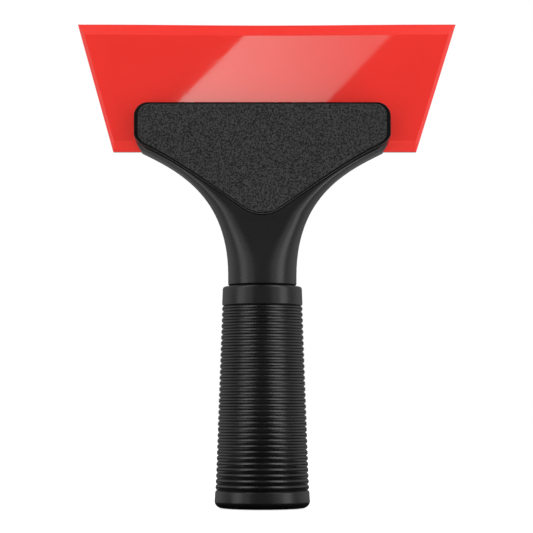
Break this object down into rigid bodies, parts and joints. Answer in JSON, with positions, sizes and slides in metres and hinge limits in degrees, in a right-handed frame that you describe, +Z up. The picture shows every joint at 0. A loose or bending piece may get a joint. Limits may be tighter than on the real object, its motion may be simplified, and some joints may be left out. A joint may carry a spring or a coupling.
{
  "type": "squeegee applicator",
  "caption": "Hand squeegee with a bevelled red polyurethane blade clamped in a flared black head, on a round handle with a ribbed rubber grip.",
  "frame": {"origin": "centre of the grip's flat butt, on the surface the tool stands on", "axes": "+Z up the handle to the blade's working edge, -Y out of the front clamp plate, +X to the right seen from the front"},
  "size_m": [0.1501, 0.0376, 0.1913],
  "materials": {
    "nylon": "fine spark-eroded mould texture, satin",
    "textured_nylon": "coarser leather-like grain, satin",
    "rubber": "satin moulded rubber",
    "polyurethane": "gloss cast, slightly translucent",
    "steel": "zinc plated",
    "brass": "machined, knurled"
  },
  "bodies": {
    "handle": {"handle_body": "nylon", "grip_sleeve": "rubber", "washer_left": "steel", "washer_right": "steel", "washer_lower": "steel"},
    "clamp_plate": {"clamp_plate": "textured_nylon", "threaded_insert_left": "brass", "threaded_insert_right": "brass", "threaded_insert_lower": "brass"},
    "blade": {"blade": "polyurethane"},
    "screw_left": {"clamp_screw_left": "steel"},
    "screw_right": {"clamp_screw_right": "steel"},
    "screw_lower": {"clamp_screw_lower": "steel"}
  },
  "joints": [
    {"name": "screw_left_turn", "type": "hinge", "parent": "handle", "child": "screw_left", "pos_m": [-0.02, 0.0046, 0.13345], "axis": [0, 1, 0], "range_deg": [0, 1800]},
    {"name": "screw_right_turn", "type": "hinge", "parent": "handle", "child": "screw_right", "pos_m": [0.02, 0.0046, 0.13345], "axis": [0, 1, 0], "range_deg": [0, 1800]},
    {"name": "screw_lower_turn", "type": "hinge", "parent": "handle", "child": "screw_lower", "pos_m": [0, 0.0046, 0.12365], "axis": [0, 1, 0], "range_deg": [0, 1800]},
    {"name": "clamp_plate_slide", "type": "slide", "parent": "handle", "child": "clamp_plate", "axis": [0, -1, 0], "range_m": [0, 0.0035]},
    {"name": "blade_pull", "type": "slide", "parent": "handle", "child": "blade", "axis": [0, 0, 1], "range_m": [0, 0.01865]}
  ],
  "couplings": [
    {"joint": "screw_left_turn", "follows": "clamp_plate_slide", "rad_per_m": 8976},
    {"joint": "screw_right_turn", "follows": "clamp_plate_slide", "rad_per_m": 8976},
    {"joint": "screw_lower_turn", "follows": "clamp_plate_slide", "rad_per_m": 8976}
  ]
}
